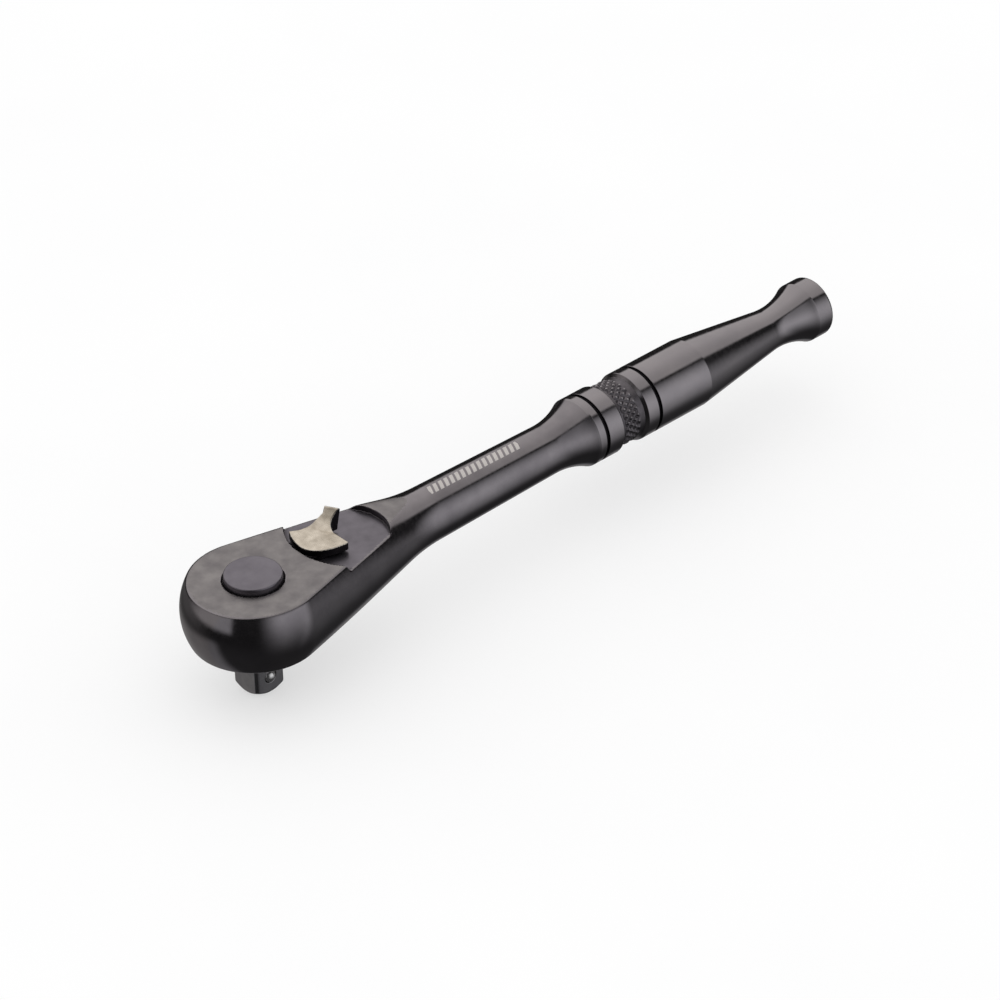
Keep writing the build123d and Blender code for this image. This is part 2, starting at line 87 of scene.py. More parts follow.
# the soft boxes' edges, by the height of the direction (-1 straight down, 1 straight up), and strengths
OVERHEAD_LOW = (0.2, 0.32)
NEAR_LOW, NEAR_HIGH, NEAR_FADE, NEAR_LEVEL = (-0.8, 0.2), (0.1, 1.0), 0.6, 0.74
NOSE_LEVEL, FAR_LEVEL, ASIDE_LEVEL, FLOOR_LEVEL = 0.42, 0.12, 0.16, 0.22
BELOW_LEVEL, ROOM_LEVEL = 0.02, 0.022


# ---- distance fields ----
# Each field takes arrays of x, y, z in millimetres and gives a signed distance, negative inside.
def meet(a, b, r=0.0):
    """Both solids; the convex edge between them is rounded to radius r."""
    if r <= 0:
        return np.maximum(a, b)
    return np.minimum(-r, np.maximum(a, b)) + np.hypot(np.maximum(r + a, 0), np.maximum(r + b, 0))


def join(a, b, r=0.0):
    """Either solid; the concave corner between them is filled to radius r."""
    if r <= 0:
        return np.minimum(a, b)
    return np.maximum(r, np.minimum(a, b)) - np.hypot(np.maximum(r - a, 0), np.maximum(r - b, 0))


def cut(a, b, r=0.0):
    """The first solid without the second, with the rim rounded to radius r."""
    return meet(a, -b, r)


def disc(x, y, cx, cy, r):
    return np.hypot(x - cx, y - cy) - r


def slab(z, low, high):
    return np.maximum(low - z, z - high)


def column(x, y, z, cx, cy, r, low, high, edge=0.0):
    return meet(disc(x, y, cx, cy, r), slab(z, low, high), edge)


def hull_of_discs(x, y, ax, ar, bx, br):
    """Outline round two discs on the x axis, with its straight sides tangent to both."""
    y = np.abs(y)
    length = bx - ax
    s = (ar - br) / length
    c = math.sqrt(1 - s * s)
    along = (x - ax) * c - y * s
    side = (x - ax) * s + y * c - ar
    near = np.hypot(x - ax, y) - ar
    far = np.hypot(x - bx, y) - br
    return np.where(along < 0, near, np.where(along > length * c, far, side))


def seal_groove(rho, z, height, bottom, half):
    """A round-bottomed groove with straight sides, open outwards from the radius bottom."""
    away = np.abs(z - height)
    return np.where(rho > bottom, away, np.hypot(rho - bottom, away)) - half


# ---- mesh from a field ----
LAYERS = 24  # how many layers of the grid are worked out at a time, to save memory


def net(field, low, high, step):
    """Vertices and quads of a field's zero surface: a vertex in each cell it crosses, moved onto it."""
    counts = [int(math.ceil((b - a) / step)) + 1 for a, b in zip(low, high)]
    axes = [a + step * np.arange(n) for a, n in zip(low, counts)]
    grid = np.empty(counts, np.float32)
    for i in range(0, counts[0], LAYERS):
        block = np.ix_(axes[0][i:i + LAYERS], axes[1], axes[2])
        grid[i:i + LAYERS] = field(*np.broadcast_arrays(*block))
    inside = grid < 0
    total = np.zeros([n - 1 for n in counts] + [3], np.float32)
    hits = np.zeros([n - 1 for n in counts], np.int16)
    corner = [slice(0, -1), slice(1, None)]
    for axis in range(3):
        others = [a for a in range(3) if a != axis]
        for da in (0, 1):
            for db in (0, 1):
                first = [slice(0, -1)] * 3
                first[others[0]] = corner[da]
                first[others[1]] = corner[db]
                second = list(first)
                second[axis] = slice(1, None)
                f0, f1 = grid[tuple(first)], grid[tuple(second)]
                crossed = (f0 < 0) != (f1 < 0)
                t = np.where(crossed, f0 / np.where(crossed, f0 - f1, 1), 0)
                hits += crossed
                total[..., axis] += np.where(crossed, t, 0)
                total[..., others[0]] += crossed * float(da)
                total[..., others[1]] += crossed * float(db)
    cells = np.argwhere(hits > 0)
    index = np.full(hits.shape, -1, np.int64)
    index[tuple(cells.T)] = np.arange(len(cells))
    points = cells + total[tuple(cells.T)] / hits[tuple(cells.T)][:, None]
    points = np.array(low) + points * step
    quads = []
    for axis in range(3):
        u, v = [(1, 2), (2, 0), (0, 1)][axis]
        first = [slice(1, -1)] * 3
        first[axis] = slice(0, -1)
        second = [slice(1, -1)] * 3
        second[axis] = slice(1, None)
        a, b = inside[tuple(first)], inside[tuple(second)]
        edges = np.argwhere(a != b)
        if not len(edges):
            continue
        at = edges + 1
        at[:, axis] -= 1
        outward = a[tuple(edges.T)]
        ring = []
        for du, dv in ((-1, -1), (0, -1), (0, 0), (-1, 0)):
            cell = at.copy()
            cell[:, u] += du
            cell[:, v] += dv
            ring.append(index[tuple(cell.T)])
        ring = np.stack(ring, 1)
        ring[~outward] = ring[~outward][:, ::-1]
        quads.append(ring)
    quads = np.concatenate(quads)
    quads = quads[(quads >= 0).all(1)]
    points = settle(field, points, step)
    return points, quads


def gradient(field, p, h=0.004):
    """A field's gradient at points."""
    out = np.empty_like(p)
    for k in range(3):
        q = p.copy()
        q[:, k] += h
        r = p.copy()
        r[:, k] -= h
        out[:, k] = field(*q.T) - field(*r.T)
    return out / (2 * h)


def unit(v):
    return v / np.maximum(np.linalg.norm(v, axis=1, keepdims=True), 1e-12)


def settle(field, p, step, rounds=4):
    """Move points down the field's slope until they lie on its zero surface."""
    start = p.copy()
    for _ in range(rounds):
        g = gradient(field, p)
        d = field(*p.T)
        p = p - g * (d / np.maximum((g * g).sum(1), 0.05))[:, None]
        drift = p - start
        far = np.linalg.norm(drift, axis=1, keepdims=True)
        p = start + drift * np.minimum(1, step * 1.2 / np.maximum(far, 1e-9))
    return p


def build(name, body, points, faces, normals, materials, face_material=None, replaces=()):
    """One object from points in millimetres about the handle's axis, riding on a body."""
    mesh = bpy.data.meshes.new(name)
    shifted = (points + np.array((0, 0, AXIS_Z))) * MM
    mesh.from_pydata(shifted.tolist(), [], [f.tolist() if hasattr(f, "tolist") else list(f) for f in faces])
    for material in materials:
        mesh.materials.append(material)
    mesh.polygons.foreach_set("use_smooth", np.ones(len(mesh.polygons), bool))
    if face_material is not None:
        mesh.polygons.foreach_set("material_index", np.asarray(face_material, np.int32))
    mesh.update()
    if normals is not None:
        mesh.normals_split_custom_set_from_vertices(normals.tolist())
    piece = bpy.data.objects.new(name, mesh)
    bpy.context.scene.collection.objects.link(piece)
    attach(piece, body)
    if replaces:
        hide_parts(*replaces)
    return piece


def carve(name, body, field, low, high, step, materials, pick=None, replaces=()):
    """One object from a field. pick gives each face's material from its middle and its normal."""
    points, quads = net(field, low, high, step)
    normals = unit(gradient(field, points))
    chosen = None
    if pick is not None:
        middle = points[quads].mean(1)
        facing = unit(normals[quads].mean(1))
        chosen = pick(middle, facing)
    return build(name, body, points, quads, normals, materials, chosen, replaces)


# ---- turned shapes ----
def zip_rings(a, b, start_a, start_b):
    """Faces between two closed rings whose points are in order of angle. Equal rings give quads."""
    na, nb = len(a), len(b)
    if na == nb:
        k = np.arange(na)
        n = (k + 1) % na
        return np.stack([start_a + k, start_a + n, start_b + n, start_b + k], 1).tolist()
    faces = []
    i = j = 0
    while i < na or j < nb:
        next_a = a[i + 1] if i + 1 < na else a[(i + 1) % na] + 2 * math.pi
        next_b = b[j + 1] if j + 1 < nb else b[(j + 1) % nb] + 2 * math.pi
        if j >= nb or (i < na and next_a <= next_b):
            faces.append([start_a + i % na, start_a + (i + 1) % na, start_b + j % nb])
            i += 1
        else:
            faces.append([start_a + i % na, start_b + (j + 1) % nb, start_b + j % nb])
            j += 1
    return faces


def circle_x(x, r, angles):
    """Points round the x axis, where r is one radius or one for each angle."""
    return np.stack([np.full(len(angles), x), np.cos(angles) * r, np.sin(angles) * r], 1)


def circle_z(z, r, angles):
    return np.stack([np.cos(angles) * r, np.sin(angles) * r, np.full(len(angles), z)], 1)


def lathe(profile, count):
    """Points and faces of a closed turned shape. profile is (along, radius) pairs, tip to tip."""
    profile = np.array(profile, float)
    faces = []
    angles = 2 * math.pi * np.arange(count) / count
    points = np.concatenate([circle_z(along, radius, angles) for along, radius in profile])
    for k in range(len(profile) - 1):
        faces += zip_rings(angles, angles, k * count, (k + 1) * count)
    faces.append(list(range(count))[::-1])
    faces.append([(len(profile) - 1) * count + k for k in range(count)])
    return points, faces


def rounded(corners, radius, steps=6):
    """A profile's corners, each cut by an arc. corners are (along, radius, round) or (along, radius)."""
    out = []
    for k, c in enumerate(corners):
        r = c[2] if len(c) > 2 else radius
        p = np.array(c[:2], float)
        if r <= 0 or k in (0, len(corners) - 1):
            out.append(tuple(p))
            continue
        a = np.array(corners[k - 1][:2], float) - p
        b = np.array(corners[k + 1][:2], float) - p
        a_len, b_len = np.linalg.norm(a), np.linalg.norm(b)
        a, b = a / a_len, b / b_len
        half = math.acos(max(-1, min(1, float(a @ b)))) / 2
        if half > math.pi / 2 - 0.01:
            out.append(tuple(p))
            continue
        reach = min(r / math.tan(half), a_len * 0.49, b_len * 0.49)
        r = reach * math.tan(half)
        centre = p + (a + b) / np.linalg.norm(a + b) * (r / math.sin(half))
        start = p + a * reach - centre
        end = p + b * reach - centre
        turn = math.atan2(start[0] * end[1] - start[1] * end[0], float(start @ end))
        for s in range(steps + 1):
            t = turn * s / steps
            cos_t, sin_t = math.cos(t), math.sin(t)
            along = centre[0] + start[0] * cos_t - start[1] * sin_t
            outward = centre[1] + start[0] * sin_t + start[1] * cos_t
            out.append((along, outward))
    return out


# ---- the forging's outline ----
cone_turn, neck_turn = math.atan(HEAD_SLOPE), math.atan(NECK_SLOPE)
NOSE_END = NOSE_R * math.sin(cone_turn)
CONE_ZERO = NOSE_R * math.cos(cone_turn) + HEAD_SLOPE * NOSE_END
NECK_ZERO = NECK_R1 + NECK_SLOPE * NECK_X1
blend_lift = NECK_BLEND * (1 / math.cos(cone_turn) - 1 / math.cos(neck_turn))
BLEND_X = (CONE_ZERO - NECK_ZERO + blend_lift) / (HEAD_SLOPE - NECK_SLOPE)
BLEND_R = NECK_ZERO - NECK_SLOPE * BLEND_X + NECK_BLEND / math.cos(neck_turn)
BLEND_1 = BLEND_X - NECK_BLEND * math.sin(cone_turn)
BLEND_2 = BLEND_X - NECK_BLEND * math.sin(neck_turn)


def forging_round(x, y, z):
    """The head's and neck's turned surface."""
    rho = np.hypot(y, z)
    nose = np.hypot(x, rho) - NOSE_R
    cone = (rho - (CONE_ZERO - HEAD_SLOPE * x)) * math.cos(cone_turn)
    neck = (rho - (NECK_ZERO - NECK_SLOPE * x)) * math.cos(neck_turn)
    blend = NECK_BLEND - np.hypot(x - BLEND_X, rho - BLEND_R)
    out = np.where(x < NOSE_END, nose, cone)
    out = np.where(x > BLEND_1, blend, out)
    return np.where(x > BLEND_2, neck, out)


def pocket(x, y, z):
    """The crescent pocket round the reversing lever, open at both sides of the head."""
    near_x, near_r = NEAR_WALL
    far_x, far_r = FAR_WALL
    near = np.where(x < near_x, np.hypot(x - near_x, y), np.abs(y)) - near_r
    far = np.where(x > far_x, np.hypot(x - far_x, y), np.abs(y)) - far_r
    return meet(np.maximum(near, far), POCKET - z, 0.1)


def forging(x, y, z):
    """Head and neck, with the pocket, the holes in the roof and the chamber below."""
    body = meet(forging_round(x, y, z), np.where(x < HEAD_END, np.abs(z) - HALF_HEAD, -OUTSIDE), HEAD_EDGE)
    body = cut(body, pocket(x, y, z), POCKET_EDGE)
    below = np.where(z < 0, OUTSIDE, 0.0)
    openings = disc(x, y, 0, 0, BUTTON_HOLE_R) + below
    openings = np.minimum(openings, disc(x, y, LEVER_X, 0, LEVER_HOLE_R) + below)
    body = cut(body, openings, HOLE_EDGE)
    chamber = np.minimum(disc(x, y, 0, 0, 7.5), hull_of_discs(x, y, 7.6, 5.1, LEVER_X, 3.4))
    chamber = meet(chamber, z - ROOF, 0.15)
    recess = meet(hull_of_discs(x, y, 0, 10.5, 19.6, 5.4), z + HALF_HEAD - COVER_T, 0.12)
    holes = column(x, y, z, PAWL_X, 0, 0.8, 0, ROOF + 0.9)
    for sx, sy in SCREWS:
        holes = np.minimum(holes, column(x, y, z, sx, sy, 0.95, -8, -0.65))
    return cut(body, np.minimum(np.minimum(chamber, recess), holes), CHAMBER_EDGE)


def forging_pick(middle, facing):
    """Which material a face of the forging has: polished, satin or that of the pocket's floor."""
    x, y, z = middle.T
    inside = forging_round(x, y, z) < -0.25
    flat = (np.abs(facing[:, 2]) > 0.96) & (np.abs(z) > HALF_HEAD - 0.3)
    floor = inside & (facing[:, 2] > 0.35) & (np.abs(z - POCKET) < 0.3)
    hidden = inside & (z < POCKET - 0.3)
    return np.where(floor, POCKET_FLOOR, np.where(flat | hidden, SATIN, POLISHED))


# ---- the turned handle ----
POLISHED, SATIN, KNURLED, POCKET_FLOOR, GRIP, GROOVE_SHADE, TIPS = range(7)
JOIN_X = 43.9
COLLAR_X = 76.0
BAND_SLOPE = 0.5
RING_COUNT = 160
KNURLS, KNURL_PITCH, KNURL_X1, KNURL_X2 = 28, 1.76, 82.95, 86.7
KNURL_STEPS = 14
KNURL_LOW, KNURL_HIGH = 5.74, 6.13


def neck_radius(x):
    return NECK_ZERO - NECK_SLOPE * x


def turned_corners():
    """(x, radius, rounding) down the handle, from the neck to the end face."""
    out = [(x, neck_radius(x), 0) for x in np.linspace(JOIN_X + 0.6, FLARE_X, 12)]
    arc_centre = FLARE_R + FLARE_ARC
    for x in np.linspace(FLARE_X, FLARE_X + 7.6, 16)[1:]:
        out.append((x, arc_centre - math.sqrt(FLARE_ARC ** 2 - (x - FLARE_X) ** 2), 0))
    collar = FLARE_X + math.sqrt(FLARE_ARC ** 2 - (arc_centre - BARREL_R) ** 2)
    out.append((collar, BARREL_R, 0.2))
    for x in GROOVES:
        if x > BAND_X1:
            out += [(BAND_X1, BARREL_R, 0.14), (BAND_X1 + BAND_SLOPE, BAND_R, 0.12)]
            out += [(KNURL_X1 - 0.12, BAND_R, 0), ("knurl", 0, 0), (KNURL_X2 + 0.12, BAND_R, 0)]
            out += [(BAND_X2 - BAND_SLOPE, BAND_R, 0.12), (BAND_X2, BARREL_R, 0.14)]
        for dx, dr in ((-1, 0), (-1, 1), (1, 1), (1, 0)):
            out.append((x + dx * GROOVE_W / 2, BARREL_R - dr * GROOVE_D, 0.07))
    out.append((TAPER_X, BARREL_R, 0.8))
    turn = math.atan(TAPER_SLOPE)
    waist_x = WAIST_X - WAIST_ARC * math.sin(turn)
    waist_centre = WAIST_R + WAIST_ARC
    for x in np.linspace(waist_x, LIP_X - 0.15, 22):
        out.append((x, waist_centre - math.sqrt(WAIST_ARC ** 2 - (x - WAIST_X) ** 2), 0))
    out += [(LIP_X, LIP_R, 0.3), (END_X, LIP_R, 0.5), (END_X, 2.2, 0.1), (END_X - 0.25, 1.9, 0.05)]
    return out


def knurl_height(turns, x):
    """0 in the grooves and 1 on the flattened tips of the diamonds; turns counts knurls round the handle."""
    a = (turns + (x - KNURL_X1) / KNURL_PITCH) % 1.0
    b = (turns - (x - KNURL_X1) / KNURL_PITCH) % 1.0
    peak = np.minimum(1 - np.abs(2 * a - 1), 1 - np.abs(2 * b - 1))
    ends = np.clip(np.minimum(x - KNURL_X1, KNURL_X2 - x) / 0.35, 0, 1)
    return np.minimum(peak / 0.85, 1) * ends, ends


def face_normals(points, faces):
    """Each point's normal, from the faces round it by their area."""
    out = np.zeros_like(points)
    for size in (3, 4):
        picked = np.array([f for f in faces if len(f) == size], int)
        if not len(picked):
            continue
        corners = points[picked]
        across = np.cross(corners[:, 2] - corners[:, 0], corners[:, -1] - corners[:, 1])
        for k in range(size):
            np.add.at(out, picked[:, k], across)
    return unit(out)


def profile_normals(profile):
    """Normals of a turned outline, each side weighted by its length: (along, radius) parts."""
    p = np.array(profile, float)
    step = np.diff(p, axis=0)
    side = np.stack([-step[:, 1], step[:, 0]], 1)
    out = np.zeros_like(p)
    out[:-1] += side
    out[1:] += side
    return unit(out)


def make_handle(materials):
    """Head and neck from their field, carried on by turned rings to the end: one closed mesh."""
    low = (-NOSE_R - 0.5, -NOSE_R - 0.5, -HALF_HEAD - 0.5)
    points, quads = net(forging, low, (JOIN_X + 0.2, NOSE_R + 0.5, HALF_HEAD + 0.5), HANDLE_STEP)
    normals = unit(gradient(forging, points))
    chosen = forging_pick(points[quads].mean(1), unit(normals[quads].mean(1)))

    # the open rim at the neck is set exactly on its circle
    edges = np.concatenate([quads[:, [k, (k + 1) % 4]] for k in range(4)])
    keys, counts = np.unique(np.sort(edges, 1), axis=0, return_counts=True)
    rim = np.unique(keys[counts == 1])
    angle = np.arctan2(points[rim, 2], points[rim, 1]) % (2 * math.pi)
    rim = rim[np.argsort(angle)]
    angle = np.sort(angle)
    radius = neck_radius(JOIN_X)
    points[rim] = circle_x(JOIN_X, radius, angle)
    normals[rim] = unit(circle_x(NECK_SLOPE, 1.0, angle))

    # turned rings
    corners = turned_corners()
    at = [k for k, c in enumerate(corners) if c[0] == "knurl"][0]
    before, after = rounded(corners[:at], 0), rounded(corners[at + 1:], 0)
    all_points, all_normals, faces, tags = [points], [normals], quads.tolist(), chosen.tolist()
    start, start_angles = None, None
    total = len(points)

    def add_ring(ring, ring_normals, angles, tag):
        nonlocal start, start_angles, total
        all_points.append(ring)
        all_normals.append(ring_normals)
        here = len(ring)
        if start is None:
            new = []
            for f in zip_rings(angle, angles, 0, len(rim)):
                new.append([int(rim[v]) if v < len(rim) else total + v - len(rim) for v in f])
        else:
            new = zip_rings(start_angles, angles, start, total)
        faces.extend(new)
        tags.extend([tag] * len(new))
        start, start_angles = total, angles
        total += here

    def add_profile(profile, count):
        angles = 2 * math.pi * np.arange(count) / count
        for (x, r), (nx, nr) in zip(profile, profile_normals(profile)):
            ring, facing = circle_x(x, r, angles), circle_x(nx, nr, angles)
            in_groove = min(abs(x - g) for g in GROOVES) < GROOVE_W / 2 + 0.02 and r < BARREL_R - 0.06
            in_band = BAND_X1 < x < BAND_X2 and r < BARREL_R - 0.3
            tag = GRIP if x > COLLAR_X else POLISHED
            if in_band:
                tag = KNURLED
            # faces inside the grooves take a near-black colour: painted shade for the grooves' hollows
            if in_groove:
                tag = GROOVE_SHADE
            add_ring(ring, facing, angles, tag)

    add_profile(before, RING_COUNT)
    fine = KNURLS * KNURL_STEPS
    angles = 2 * math.pi * np.arange(fine) / fine
    knurl_start = total
    for x in np.arange(KNURL_X1, KNURL_X2 + 0.01, KNURL_PITCH / KNURL_STEPS):
        height, ends = knurl_height(angles * KNURLS / (2 * math.pi), x)
        base = BAND_R + (KNURL_LOW - BAND_R) * ends
        r = base + (KNURL_HIGH - KNURL_LOW) * height
        ring = circle_x(x, r, angles)
        add_ring(ring, unit(ring * (0, 1, 1)), angles, KNURLED)
    knurl_end = total
    add_profile(after, RING_COUNT)
    faces.append([start + k for k in range(RING_COUNT)])
    tags.append(GRIP)
    points, normals = np.concatenate(all_points), np.concatenate(all_normals)
    tags = np.array(tags)
    corner = np.array([f[0] for f in faces])
    tips = (np.hypot(points[corner, 1], points[corner, 2]) > KNURL_HIGH - 0.07) & (tags == KNURLED)
    tags[tips & (corner >= knurl_start) & (corner < knurl_end)] = TIPS
    knurled = face_normals(points, faces)
    normals[knurl_start:knurl_end] = knurled[knurl_start:knurl_end]
    return build("handle", "handle", points, faces, normals, materials, tags, ["handle_body"])


# ---- turned and coiled pieces ----
def turned(name, body, profile, count, material, replaces, place=None):
    """A closed turned solid. profile is (along, radius) pairs from one end's centre to the other's."""
    points, faces = lathe(profile, count)
    across = profile_normals(profile)
    angles = 2 * math.pi * np.arange(count) / count
    normals = unit(np.concatenate([circle_z(along, outward, angles) for along, outward in across]))
    if place is not None:
        points, normals = place(points, normals)
    return build(name, body, points, faces, normals, [material], None, replaces)


def swept(section, angles):
    """A section's (height, radius) values carried round the z axis."""
    return np.stack([
        np.outer(np.cos(angles), section[:, 1]),
        np.outer(np.sin(angles), section[:, 1]),
        np.outer(np.ones(len(angles)), section[:, 0]),
    ], 2).reshape(-1, 3)


def hoop(name, body, loop, count, material, replaces, place=None):
    """A closed ring. loop is its section's (height, radius) points, once round, and the ring has no ends."""
    loop = np.array(loop, float)
    n = len(loop)
    angles = 2 * math.pi * np.arange(count) / count
    points = swept(loop, angles)
    k, m = np.meshgrid(np.arange(count), np.arange(n), indexing="ij")
    k2, m2 = (k + 1) % count, (m + 1) % n
    faces = np.stack([k * n + m, k2 * n + m, k2 * n + m2, k * n + m2], -1).reshape(-1, 4)
    step = np.roll(loop, -1, 0) - loop
    side = np.stack([-step[:, 1], step[:, 0]], 1)
    side = unit(side + np.roll(side, 1, 0))
    normals = swept(side, angles)
    if place is not None:
        points, normals = place(points, normals)
    return build(name, body, points, faces, normals, [material], None, replaces)


def round_loop(z, r, section, count=20):
    """Section of a round ring, as (height, radius) points."""
    a = 2 * math.pi * np.arange(count) / count
    return np.stack([z + section * np.sin(a), r + section * np.cos(a)], 1)


def flat_loop(z1, z2, r1, r2, edge):
    """Section of a flat washer with rounded edges."""
    corners = [(z1, (r1 + r2) / 2), (z1, r2, edge), (z2, r2, edge), (z2, r1, edge), (z1, r1, edge)]
    corners.append(corners[0])
    return rounded(corners, edge, 4)[:-1]


def coil(name, body, radius, wire, length, turns, z1, material, replaces, place=None):
    """A compression spring with its last turn at each end closed, from z1 up."""
    around, per_turn = 14, 64
    t = np.linspace(0, turns, int(turns * per_turn) + 1)
    closed = wire * 2.02
    lift = length - 2 * wire
    pitch = (lift - 2 * closed) / (turns - 2)
    rise = np.interp(t, [0, 1, turns - 1, turns], [0, closed, closed + pitch * (turns - 2), lift])
    kernel = np.hanning(41)
    padded = np.concatenate([2 * rise[0] - rise[20:0:-1], rise, 2 * rise[-1] - rise[-2:-22:-1]])
    rise = np.convolve(padded, kernel / kernel.sum(), "valid")
    rise = (rise - rise[0]) / (rise[-1] - rise[0]) * lift
    turn = 2 * math.pi * t
    centre = np.stack([np.cos(turn) * radius, np.sin(turn) * radius, z1 + wire + rise], 1)
    tangent = unit(np.gradient(centre, axis=0))
    outward = np.stack([np.cos(turn), np.sin(turn), np.zeros_like(turn)], 1)
    upward = unit(np.cross(tangent, outward))
    outward = np.cross(upward, tangent)
    a = 2 * math.pi * np.arange(around) / around
    ring = outward[:, None] * np.cos(a)[None, :, None] + upward[:, None] * np.sin(a)[None, :, None]
    shrink = np.ones(len(t))
    shrink[0] = shrink[-1] = 0.8
    points = (centre[:, None] + ring * wire * shrink[:, None, None]).reshape(-1, 3)
    normals = ring.reshape(-1, 3)
    k, m = np.meshgrid(np.arange(len(t) - 1), np.arange(around), indexing="ij")
    m2 = (m + 1) % around
    faces = np.stack([k * around + m, k * around + m2, (k + 1) * around + m2, (k + 1) * around + m], -1)
    faces = faces.reshape(-1, 4)
    middle = np.cross(points[faces[0, 1]] - points[faces[0, 0]], points[faces[0, 3]] - points[faces[0, 0]])
    outside = float(middle @ normals[faces[0, 0]]) > 0
    caps = [list(range(around)), list(range((len(t) - 1) * around, len(t) * around))[::-1]]
    if outside:
        caps = [c[::-1] for c in caps]
    else:
        faces = faces[:, ::-1]
    if place is not None:
        points, normals = place(points, normals)
    return build(name, body, points, faces.tolist() + caps, normals, [material], None, replaces)


def lever_place(points, normals):
    """From the lever's own axis to the head."""
    c, s = math.cos(LEVER_ANGLE), math.sin(LEVER_ANGLE)
    turn = np.array([[c, s, 0], [-s, c, 0], [0, 0, 1]])
    return points @ turn + (LEVER_X, 0, 0), normals @ turn


def plunger_place(points, normals):
    """From +Z to the plunger's line: away from the tab, at the plunger's height."""
    order = np.array([[0, 0, 1], [0, 1, 0], [-1, 0, 0]], float)
    points, normals = points @ order, normals @ order
    points = points + (0, 0, PLUNGER_Z)
    return lever_place(points, normals)


# ---- fields of the smaller pieces ----
def cover_field(x, y, z):
    plate = meet(hull_of_discs(x, y, 0, 10.4, 19.6, 5.3), slab(z, -HALF_HEAD, -HALF_HEAD + COVER_T), 0.16)
    holes = meet(disc(x, y, 0, 0, 5.0), slab(z, -8, 0))
    for sx, sy in SCREWS:
        away = np.hypot(x - sx, y - sy)
        holes = np.minimum(holes, (away - 1.66 + 0.96 * (z + HALF_HEAD)) / 1.386)
        holes = np.minimum(holes, away - 0.95)
    return cut(plate, holes, 0.06)


def screw_field(x, y, z):
    """Three countersunk screws with a hexagon socket and a thread."""
    out = np.full(np.shape(x), 9.0)
    for sx, sy in SCREWS:
        away = np.hypot(x - sx, y - sy)
        angle = np.arctan2(y - sy, x - sx)
        head = (away - 1.6 + (z + HALF_HEAD)) / math.sqrt(2)
        ridge = np.abs((z / 0.4 - angle / (2 * math.pi)) % 1.0 - 0.5) * 2
        shank = (away - 0.84 - 0.06 * ridge) * 0.9
        shank = np.maximum(shank, z - (-HALF_HEAD + 4.8) + 0.3 * np.maximum(away - 0.6, 0))
        screw = meet(np.minimum(head, shank), -HALF_HEAD + 0.02 - z, 0.08)
        flats = np.full(np.shape(x), -9.0)
        for k in range(3):
            a = math.pi * (k / 3 + 1 / 6)
            flats = np.maximum(flats, np.abs((x - sx) * math.cos(a) + (y - sy) * math.sin(a)) - 0.65)
        socket = np.maximum(flats, z + HALF_HEAD - 0.6)
        out = np.minimum(out, cut(screw, socket, 0.04))
    return out


def drive_field(x, y, z):
    """Toothed wheel, boss, hub and square tang, bored for the release stem, its spring and the ball."""
    rho = np.hypot(x, y)
    part = np.abs((np.arctan2(y, x) * TEETH / (2 * math.pi) + 0.5) % 1.0 - 0.5)
    surface = np.clip(TIP_R - (part - 0.1) / 0.32 * (TIP_R - ROOT_R), ROOT_R, TIP_R)
    wheel = meet((rho - surface) * 0.5, slab(z, -4.4, 2.9), 0.1)
    boss = meet(rho - 5.33, slab(z, 0, 3.6), 0.12)
    hub = meet(rho - 4.92, slab(z, -8.6, -4), 0.25)
    hub = cut(hub, seal_groove(rho, z, *HUB_SEAL, SEAL_GROOVE_HALF), 0.06)
    square = meet(np.abs(x) - SQUARE_HALF, np.abs(y) - SQUARE_HALF, 0.1)
    tang = meet(meet(square, rho - SQUARE_CORNER_R, 0.12), slab(z, -AXIS_Z, -8), 0.12)
    tang = meet(tang, (rho - 3.1 - (z + AXIS_Z) * 1.3125) * 0.606, 0.1)
    solid = np.minimum(np.minimum(wheel, boss), join(hub, tang, 0.25))
    bores = np.minimum(meet(rho - STEM_BORE_R, -15.7 - z), meet(rho - SPRING_BORE_R, -0.5 - z))
    bores = np.minimum(bores, np.maximum(np.hypot(x, z - BALL_Z) - BALL_BORE_R, y))
    return cut(solid, bores, 0.07)


def circle_through(a, b, c):
    """Centre and radius of the circle through three points."""
    (ax, ay), (bx, by), (cx, cy) = a, b, c
    d = 2 * (ax * (by - cy) + bx * (cy - ay) + cx * (ay - by))
    aa, bb, cc = ax * ax + ay * ay, bx * bx + by * by, cx * cx + cy * cy
    ux = (aa * (by - cy) + bb * (cy - ay) + cc * (ay - by)) / d
    uy = (aa * (cx - bx) + bb * (ax - cx) + cc * (bx - ax)) / d
    return ux, uy, math.hypot(ax - ux, ay - uy)


LEVER_CORNER, LEVER_WAIST = (1.5, 5.52), (4.0, 1.1)
BACK_X, BACK_Y, BACK_R = circle_through(LEVER_CORNER, (-1.42, 3.1), (-3.25, 0.0))


def lever_axes(x, y):
    """Distances along the lever, towards its tab, and across it."""
    c, s = math.cos(LEVER_ANGLE), math.sin(LEVER_ANGLE)
    return (x - LEVER_X) * c + y * s, -(x - LEVER_X) * s + y * c


